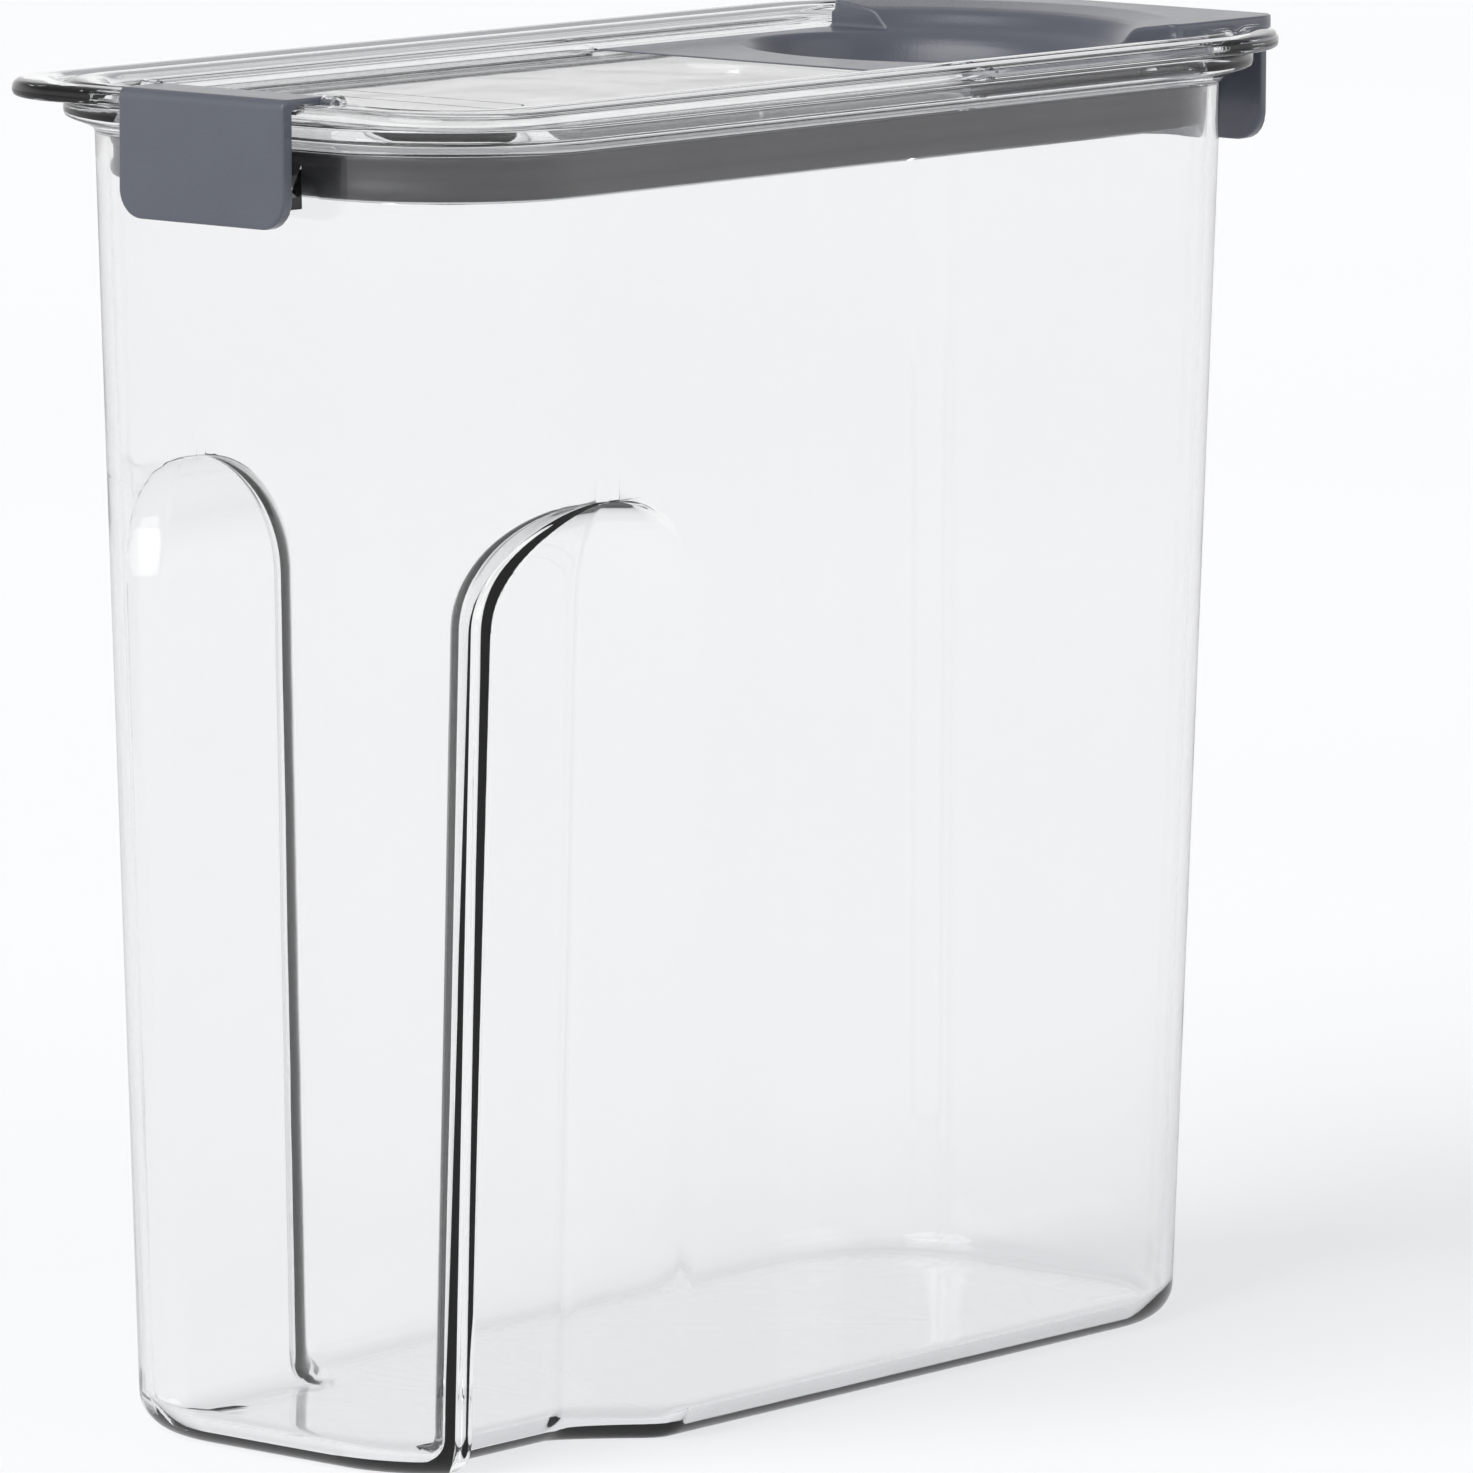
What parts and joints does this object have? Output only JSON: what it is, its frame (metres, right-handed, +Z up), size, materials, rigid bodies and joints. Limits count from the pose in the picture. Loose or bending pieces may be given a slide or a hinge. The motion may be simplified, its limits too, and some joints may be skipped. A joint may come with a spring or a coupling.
{
  "type": "food storage canister",
  "caption": "Tall clear food canister with side hand grips, a sealed lid held by an end latch, and a grey flip-up pour door with a finger scoop.",
  "frame": {"origin": "middle of the bounding box in plan, at the underside of the base", "axes": "+X along the length towards the pour door, +Y across the width, +Z up"},
  "size_m": [0.2512, 0.117, 0.24],
  "materials": {
    "clear_plastic": "clear gloss",
    "slate_plastic": "satin",
    "seal_rubber": "matt"
  },
  "bodies": {
    "container": {"container_body": "clear_plastic"},
    "lid": {"lid_cover": "clear_plastic", "lid_seal": "seal_rubber"},
    "latch": {"front_latch": "slate_plastic"},
    "door": {"pour_door": "slate_plastic", "door_seal": "seal_rubber"}
  },
  "joints": [
    {"name": "lid_lift", "type": "slide", "parent": "container", "child": "lid", "axis": [0, 0, 1], "range_m": [0, 0.06]},
    {"name": "latch_swing", "type": "hinge", "parent": "lid", "child": "latch", "pos_m": [-0.115, 0, 0.2384], "axis": [0, 1, 0], "range_deg": [0, 110]},
    {"name": "door_flip", "type": "hinge", "parent": "lid", "child": "door", "pos_m": [0.0269, 0, 0.2338], "axis": [0, -1, 0], "range_deg": [0, 110]}
  ]
}
